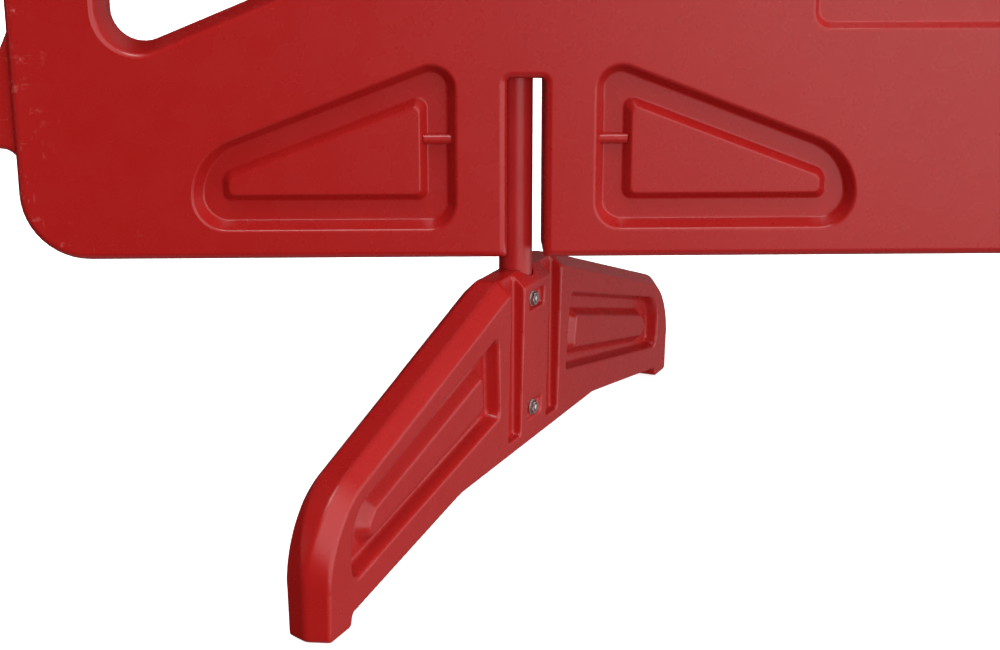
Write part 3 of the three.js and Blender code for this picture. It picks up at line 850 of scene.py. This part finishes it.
def nut():
    """A hexagon nut with rounded-off corners on a round flange."""
    top = NUT_SEAT + NUT_HEIGHT
    outside = NUT_FLATS / math.sqrt(3) + NUT_MARGIN
    flat = NUT_FLATS / 2 - NUT_FACE_INSET
    chamfer = turned("chamfer", [
        (0, NUT_SEAT - OVERRUN),
        (flat, NUT_SEAT - 0.1),
        (outside, NUT_SEAT + NUT_CHAMFER),
        (outside, top - NUT_CHAMFER),
        (flat, top + 0.1),
        (0, top + OVERRUN),
    ])
    body = combine(hex_prism("nut", NUT_FLATS, NUT_SEAT, top, NUT_CORNER_RADIUS), chamfer, "INTERSECT")
    flange = rounded(
        [
            (0, NUT_SEAT),
            (FLANGE_RADIUS, NUT_SEAT),
            (FLANGE_RADIUS, NUT_SEAT + FLANGE_RIM),
            (NUT_FLATS / 2, NUT_SEAT + FLANGE),
            (0, NUT_SEAT + FLANGE),
        ],
        FLANGE_LIPS,
    )
    body = combine(body, turned("flange", [tuple(p) for p in flange]), "UNION")
    inner = BOLT_RADIUS + BOLT_CLEARANCE
    bore = turned("bore", [
        (0, NUT_SEAT - 2),
        (inner + NUT_BORE_CHAMFER, NUT_SEAT - 2),
        (inner, NUT_SEAT + NUT_BORE_LIP),
        (inner, top - NUT_BORE_LIP),
        (inner + NUT_BORE_CHAMFER, top + 2),
        (0, top + 2),
    ], BOLT_STEPS)
    return combine(body, bore)


def washer():
    inner = BOLT_RADIUS + BOLT_CLEARANCE
    top = WASHER_LOW + WASHER_THICKNESS
    return turned("washer", [
        (inner, WASHER_LOW + WASHER_BORE_ROUND),
        (inner + WASHER_BORE_ROUND, WASHER_LOW),
        (WASHER_RADIUS - WASHER_ROUND, WASHER_LOW),
        (WASHER_RADIUS, WASHER_LOW + WASHER_ROUND),
        (WASHER_RADIUS, top - WASHER_ROUND),
        (WASHER_RADIUS - WASHER_ROUND, top),
        (inner + WASHER_BORE_ROUND, top),
        (inner, top - WASHER_BORE_ROUND),
    ])


def keeper_pin(low, high):
    """A spring pin along Y with rounded ends."""
    front = low.y / MM
    back = high.y / MM
    x, _, z = middle(low, high)
    outer = [(0, -back), (KEEPER_RADIUS, -back), (KEEPER_RADIUS, -front), (0, -front)]
    profile = rounded(outer, KEEPER_LIPS)
    return moved(turned("pin", [tuple(p) for p in profile], HOLE_STEPS, "Y"), x=x, z=z)


def drain_plug(low, high):
    """A flanged plug with a coin slot across its face."""
    radius = (high.x - low.x) / 2 / MM
    bottom = low.z / MM
    top = high.z / MM
    profile = rounded(
        [
            (0, bottom),
            (radius, bottom),
            (radius, bottom + PLUG_FLANGE),
            (radius - PLUG_LEDGE, bottom + PLUG_FLANGE),
            (radius - PLUG_LEDGE, top),
            (0, top),
        ],
        PLUG_LIPS,
    )
    plug = turned("plug", [tuple(p) for p in profile])
    half = radius * SLOT_SHARE
    slot = block("slot", (-half, half), (-SLOT_HALF, SLOT_HALF), (bottom - OVERRUN, bottom + SLOT_DEPTH))
    return moved(combine(plug, slot), x=middle(low, high)[0])


# ---------------------------------------------------------------- materials


class Nodes:
    """Short names for building a material's node tree."""

    def __init__(self, name):
        self.material = bpy.data.materials.new(name)
        self.material.use_nodes = True
        self.tree = self.material.node_tree
        self.shader = self.tree.nodes["Principled BSDF"]
        self.coordinates = self.tree.nodes.new("ShaderNodeTexCoord").outputs["Object"]

    def add(self, kind, inputs=None, **settings):
        node = self.tree.nodes.new(kind)
        for key, value in settings.items():
            setattr(node, key, value)
        for key, value in (inputs or {}).items():
            if isinstance(value, bpy.types.NodeSocket):
                self.tree.links.new(value, node.inputs[key])
            else:
                node.inputs[key].default_value = value
        return node

    def noise(self, scale, detail=3.0, rough=0.55, stretch=(1, 1, 1)):
        mapping = self.add("ShaderNodeMapping", {"Vector": self.coordinates, "Scale": stretch})
        return self.add("ShaderNodeTexNoise", {"Vector": mapping.outputs[0], "Scale": scale,
                                               "Detail": detail, "Roughness": rough}).outputs["Fac"]

    def ramp(self, value, low, high, to_low=0.0, to_high=1.0):
        node = self.add("ShaderNodeMapRange", {"Value": value, "From Min": low, "From Max": high,
                                               "To Min": to_low, "To Max": to_high})
        return node.outputs["Result"]

    def math(self, operation, a, b):
        return self.add("ShaderNodeMath", {0: a, 1: b}, operation=operation).outputs[0]

    def mix(self, factor, a, b):
        node = self.add("ShaderNodeMix", data_type="RGBA")
        for key, value in (("Factor", factor), ("A", a), ("B", b)):
            sockets = [s for s in node.inputs if s.name == key and s.enabled]
            if isinstance(value, bpy.types.NodeSocket):
                self.tree.links.new(value, sockets[-1])
            else:
                sockets[-1].default_value = value
        return [s for s in node.outputs if s.enabled][0]

    def bump(self, layers):
        """Stacks (height, distance, strength) layers into one normal."""
        normal = None
        for height, distance, strength in layers:
            node = self.add("ShaderNodeBump", {"Height": height, "Distance": distance,
                                               "Strength": strength})
            if normal is not None:
                self.tree.links.new(normal, node.inputs["Normal"])
            normal = node.outputs["Normal"]
        self.tree.links.new(normal, self.shader.inputs["Normal"])

    def link(self, value, socket):
        self.tree.links.new(value, self.shader.inputs[socket])

    def fix(self, **values):
        for key, value in values.items():
            self.shader.inputs[key.replace("_", " ")].default_value = value


RED = (0.36, 0.0095, 0.0085, 1)
RED_PALE = (0.375, 0.011, 0.0105, 1)
SCUFF = (0.62, 0.16, 0.14, 1)
GRIME = (0.20, 0.012, 0.010, 1)
PAINT = (0.33, 0.009, 0.010, 1)
PAINT_PALE = (0.38, 0.014, 0.014, 1)
PAINT_RUBBED = (0.26, 0.02, 0.02, 1)
ZINC_DULL = (0.40, 0.40, 0.41, 1)
ZINC_BRIGHT = (0.54, 0.53, 0.51, 1)
NYLON = (0.018, 0.018, 0.020, 1)
NYLON_GREY = (0.040, 0.040, 0.042, 1)
WEAR_ALL_OVER = 0.10
WEAR_AT_EDGES = 0.55
WEAR_ROUGHENS = 0.35
WORN_BAND = (36.0, 4.0)                     # heights over the lower edge where its wear starts and is full
WORN_CORNER = 0.12                          # length in metres over which that wear fades inwards


def red_plastic(name, edges=()):
    """Moulded polyethylene: soft mottle, fine orange peel, and scuffs near the given X edges."""
    net = Nodes(name)
    mottle = net.ramp(net.noise(5.0, 3.0), 0.38, 0.66)
    colour = net.mix(mottle, RED, RED_PALE)
    speckle = net.ramp(net.noise(420.0, 2.0), 0.66, 0.80, 0.0, 0.16)
    colour = net.mix(speckle, colour, GRIME)
    long_scratch = net.ramp(net.noise(30.0, 6.0, 0.7, (1, 1, 9)), 0.63, 0.72)
    short_scratch = net.ramp(net.noise(55.0, 5.0, 0.75, (5, 1, 1)), 0.64, 0.72)
    scratches = net.math("MAXIMUM", long_scratch, short_scratch)
    patches = net.ramp(net.noise(9.0, 2.0), 0.50, 0.68)
    wear = net.math("MULTIPLY", net.math("MULTIPLY", scratches, patches), WEAR_ALL_OVER)
    if edges:
        position = net.add("ShaderNodeSeparateXYZ", {"Vector": net.coordinates})
        across = net.math("ABSOLUTE", position.outputs["X"], 0.0)
        start, end = edges
        near_side = net.ramp(across, start, end)
        start_height, full_height = (PANEL_BOTTOM + height for height in WORN_BAND)
        low_band = net.ramp(position.outputs["Z"], start_height * MM, full_height * MM)
        by_corner = net.math("MULTIPLY", low_band, net.ramp(across, start - WORN_CORNER, start))
        strong = net.math("MULTIPLY", net.math("MAXIMUM", near_side, by_corner), WEAR_AT_EDGES)
        flecks = net.math("MAXIMUM", scratches, net.ramp(net.noise(75.0, 6.0, 0.75), 0.60, 0.68))
        worn = net.math("MULTIPLY", flecks, strong)
        wear = net.math("MAXIMUM", wear, worn)
    colour = net.mix(wear, colour, SCUFF)
    net.link(colour, "Base Color")
    roughness = net.ramp(net.noise(38.0, 4.0), 0.3, 0.7, 0.24, 0.31)
    net.link(net.math("ADD", roughness, net.math("MULTIPLY", wear, WEAR_ROUGHENS)), "Roughness")
    net.bump([
        (net.noise(14.0, 2.0), 0.0009, 0.05),
        (net.noise(260.0, 2.0), 0.00010, 0.12),
        (net.noise(900.0, 2.0), 0.00004, 0.12),
        (wear, 0.0002, 0.5),
    ])
    net.fix(Specular_IOR_Level=0.5)
    return net.material


def painted_steel():
    """Powder coat over tube: fine orange peel with faint rubbing marks round the tube."""
    net = Nodes("painted_steel")
    colour = net.mix(net.ramp(net.noise(16.0, 3.0), 0.38, 0.66), PAINT, PAINT_PALE)
    rub = net.ramp(net.noise(26.0, 5.0, 0.7, (1, 1, 14)), 0.62, 0.74, 0.0, 0.35)
    net.link(net.mix(rub, colour, PAINT_RUBBED), "Base Color")
    net.link(net.ramp(net.noise(60.0, 3.0), 0.3, 0.7, 0.28, 0.40), "Roughness")
    net.bump([(net.noise(320.0, 2.0), 0.00012, 0.35), (rub, 0.0001, 0.3)])
    return net.material


def zinc():
    """Zinc-plated steel: fine brushing, with a faint clouding in the plating."""
    net = Nodes("zinc")
    cloud = net.ramp(net.noise(180.0, 3.0), 0.35, 0.68)
    net.link(net.mix(cloud, ZINC_DULL, ZINC_BRIGHT), "Base Color")
    brushed = net.noise(900.0, 4.0, 0.6, (1, 8, 1))
    net.link(net.ramp(brushed, 0.3, 0.7, 0.22, 0.40), "Roughness")
    net.bump([(brushed, 0.00003, 0.4)])
    net.fix(Metallic=1.0)
    return net.material


def bush_plastic():
    """Black nylon: slight grey mottle, fine grain."""
    net = Nodes("bush_plastic")
    cloud = net.ramp(net.noise(60.0, 3.0), 0.35, 0.68)
    net.link(net.mix(cloud, NYLON, NYLON_GREY), "Base Color")
    net.link(net.ramp(net.noise(140.0, 3.0), 0.3, 0.7, 0.48, 0.64), "Roughness")
    net.bump([(net.noise(700.0, 2.0), 0.00005, 0.4)])
    return net.material


MATERIALS = {
    "red_plastic": red_plastic("foot_plastic"),
    "painted_post": painted_steel(),
    "zinc": zinc(),
    "bush_plastic": bush_plastic(),
}
WORN_FROM = (PANEL_HALF - 34) * MM          # wear at the ends starts here and is full there
WORN_FULLY = (PANEL_HALF - 2) * MM
PANEL_MATERIAL = red_plastic("panel_plastic", (WORN_FROM, WORN_FULLY))


# ---------------------------------------------------------------- pieces


def place(obj, name, node, body):
    obj.name = name
    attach(obj, body)
    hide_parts(node)
    return obj


def copy_of(source, placement):
    obj = bpy.data.objects.new(source.name, source.data)
    bpy.context.scene.collection.objects.link(obj)
    obj.matrix_world = placement
    weighted = obj.modifiers.new("weighted", "WEIGHTED_NORMAL")
    weighted.keep_sharp = True
    return obj


panel_piece = shade(panel(), PANEL_MATERIAL)
place(panel_piece, "panel", "panel_shell", "panel")

for hand_name, _ in HANDS:
    pin = shade(keeper_pin(*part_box("keeper_pin_" + hand_name)), MATERIALS["zinc"])
    place(pin, "keeper_" + hand_name, "keeper_pin_" + hand_name, "panel")
    stopper = shade(drain_plug(*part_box("drain_plug_" + hand_name)), MATERIALS["red_plastic"])
    place(stopper, "plug_" + hand_name, "drain_plug_" + hand_name, "panel")

patterns = {
    "foot_shell": shade(foot(), MATERIALS["red_plastic"], math.pi),
    "post_tube": shade(post_tube(), MATERIALS["painted_post"]),
    "bolt": shade(bolt(), MATERIALS["zinc"], BOLT_SHARP_ANGLE),
    "nut": shade(nut(), MATERIALS["zinc"]),
    "washer": shade(washer(), MATERIALS["zinc"]),
}
ACROSS = Matrix.Rotation(math.pi / 2, 4, "X")
for hand_name, hand_sign in HANDS:
    body_name = "foot_" + hand_name
    stand = (Matrix.Translation((hand_sign * POST_X * MM, 0, 0))
             @ Matrix.Rotation(math.radians(90 - FOOT_ANGLE), 4, "Z"))
    for kind, slot_name in (("foot_shell", "red_plastic"), ("post_tube", "painted_post")):
        piece = copy_of(patterns[kind], stand)
        place(piece, kind.split("_")[0] + "_" + hand_name, kind + "_" + hand_name, body_name)
    for height_name, height in POCKET_HEIGHTS:
        for kind in ("bolt", "nut", "washer"):
            piece = copy_of(patterns[kind], stand @ Matrix.Translation((0, 0, height * MM)) @ ACROSS)
            label = height_name + "_" + hand_name
            place(piece, kind + "_piece_" + label, kind + "_" + label, body_name)
for pattern in patterns.values():
    remove(pattern)

HIDDEN_NODES = {
    "guide_sleeve": "bush_plastic",
    "bearing_cup": "bush_plastic",
    "post_foot_plug": "bush_plastic",
    "post_top_cap": "bush_plastic",
    "thrust_washer": "zinc",
}
for kind, slot_name in HIDDEN_NODES.items():
    for hand_name, _ in HANDS:
        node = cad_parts[kind + "_" + hand_name]
        node.data.materials.clear()
        node.data.materials.append(MATERIALS[slot_name])


# ---------------------------------------------------------------- stage, light and camera

STAGE = (0.93, 0.93, 0.93, 1)
STAGE_PALE = (0.95, 0.95, 0.95, 1)
FLOOR_REACH = 14000.0                       # millimetres, like the three lines below
WALL_HEIGHT = 8000.0
BEND_RADIUS = 3000.0
STAGE_THICKNESS = 100.0
SOFTBOX_SIZE = 2.5                          # metres, like the two lines below
TARGET = Vector((-0.3, 0, 0.4))
LIGHT_DISTANCE = 5.0
SOFTBOXES = (                               # name, direction from the target, power in watts
    ("left", (-0.93, -0.35, 0.10), 40),
    ("front", (0.20, -0.97, 0.05), 119),
    ("top", (0.10, 0.30, 1.0), 20),
    ("back", (-0.65, 0.75, 0.20), 190),
)
OVERHEAD = (0.0, -0.34, 0.94)               # direction of the lamp that glints on top edges
WHITE = (1, 1, 1, 1)


def stage_material():
    net = Nodes("stage")
    net.link(net.mix(net.ramp(net.noise(2.0, 3.0), 0.3, 0.7), STAGE, STAGE_PALE), "Base Color")
    net.fix(Roughness=0.9, Specular_IOR_Level=0.1, Emission_Color=WHITE, Emission_Strength=0.78)
    return net.material


def sweep():
    """A round floor that curves up into a wall a long way off. Only the camera sees it."""
    inside = rounded([(0, 0), (FLOOR_REACH, 0), (FLOOR_REACH, WALL_HEIGHT)], (BEND_RADIUS,), SWEEP_STEPS)
    back = FLOOR_REACH + STAGE_THICKNESS
    outside = [(back, WALL_HEIGHT), (back, -STAGE_THICKNESS), (0, -STAGE_THICKNESS)]
    wall = turned("sweep", [tuple(p) for p in inside] + outside)
    for face in wall.data.polygons:
        face.use_smooth = True
    wall.data.materials.append(stage_material())
    wall.visible_diffuse = False
    wall.visible_glossy = False
    wall.visible_shadow = False
    return wall


def softbox(name, towards, power):
    """A broad lamp that lights the body of the plastic; its gloss comes from the world."""
    data = bpy.data.lights.new(name, "AREA")
    data.shape = "SQUARE"
    data.size = SOFTBOX_SIZE
    data.energy = power
    lamp = bpy.data.objects.new(name, data)
    direction = Vector(towards).normalized()
    lamp.location = TARGET + direction * LIGHT_DISTANCE
    lamp.visible_camera = False
    lamp.visible_glossy = False
    lamp.rotation_euler = direction.to_track_quat("Z", "Y").to_euler()
    bpy.context.scene.collection.objects.link(lamp)


def surroundings(tree):
    """Dark on the left, bright in front on the right, with a lamp overhead and one far right."""
    direction = tree.nodes.new("ShaderNodeTexCoord").outputs["Generated"]
    split = tree.nodes.new("ShaderNodeSeparateXYZ")
    tree.links.new(direction, split.inputs[0])
    x, y, z = split.outputs
    overhead = tree.nodes.new("ShaderNodeVectorMath")
    overhead.operation = "DOT_PRODUCT"
    overhead.inputs[1].default_value = OVERHEAD
    tree.links.new(direction, overhead.inputs[0])

    def ramp(value, start, end, low, high):
        node = tree.nodes.new("ShaderNodeMapRange")
        node.interpolation_type = "SMOOTHSTEP"
        tree.links.new(value, node.inputs["Value"])
        for key, number in (("From Min", start), ("From Max", end), ("To Min", low), ("To Max", high)):
            node.inputs[key].default_value = number
        return node.outputs["Result"]

    def math_node(operation, a, b):
        node = tree.nodes.new("ShaderNodeMath")
        node.operation = operation
        tree.links.new(a, node.inputs[0])
        tree.links.new(b, node.inputs[1])
        return node.outputs[0]

    front = math_node("MULTIPLY", ramp(x, -0.06, 0.40, 0.0, 1.6), ramp(y, -0.45, 0.15, 1.0, 0.0))
    above = ramp(z, -0.42, -0.16, 0.1, 1.0)
    lamp = ramp(overhead.outputs["Value"], 0.955, 0.99, 0.0, 7.0)
    total = math_node("MULTIPLY", front, above)
    for term in (
        ramp(x, -0.15, 0.20, 0.005, 0.17),      # faint on the whole right half
        ramp(x, 0.82, 0.97, 0.0, 1.9),          # the lamp far right
        lamp,
        ramp(z, -0.70, -0.95, 0.0, 0.3),        # a little light from below
    ):
        total = math_node("MAXIMUM", total, term)
    tree.links.new(total, tree.nodes["Background"].inputs["Strength"])
    tree.nodes["Background"].inputs["Color"].default_value = WHITE


sweep()
for lamp_name, lamp_direction, lamp_power in SOFTBOXES:
    softbox(lamp_name, lamp_direction, lamp_power)

world = bpy.context.scene.world or bpy.data.worlds.new("world")
bpy.context.scene.world = world
world.use_nodes = True
surroundings(world.node_tree)
bpy.context.scene.view_settings.view_transform = "Standard"

CAMERA_PLACE = (-0.6495, -1.352, 0.528)
CAMERA_TILT = 16.2                          # degrees below level
CAMERA_TURN = 1.55                          # degrees towards +X
FOCAL_LENGTH = 60.12                        # for a sensor 36 mm wide
camera_data = bpy.data.cameras.new("camera")
camera_data.lens = FOCAL_LENGTH
camera_data.sensor_width = 36.0
camera = bpy.data.objects.new("camera", camera_data)
camera.location = CAMERA_PLACE
camera.rotation_euler = (math.radians(90 - CAMERA_TILT), 0, -math.radians(CAMERA_TURN))
bpy.context.scene.collection.objects.link(camera)
bpy.context.scene.camera = camera

# ---------------------------------------------------------------- update the scene

bpy.context.view_layer.update()
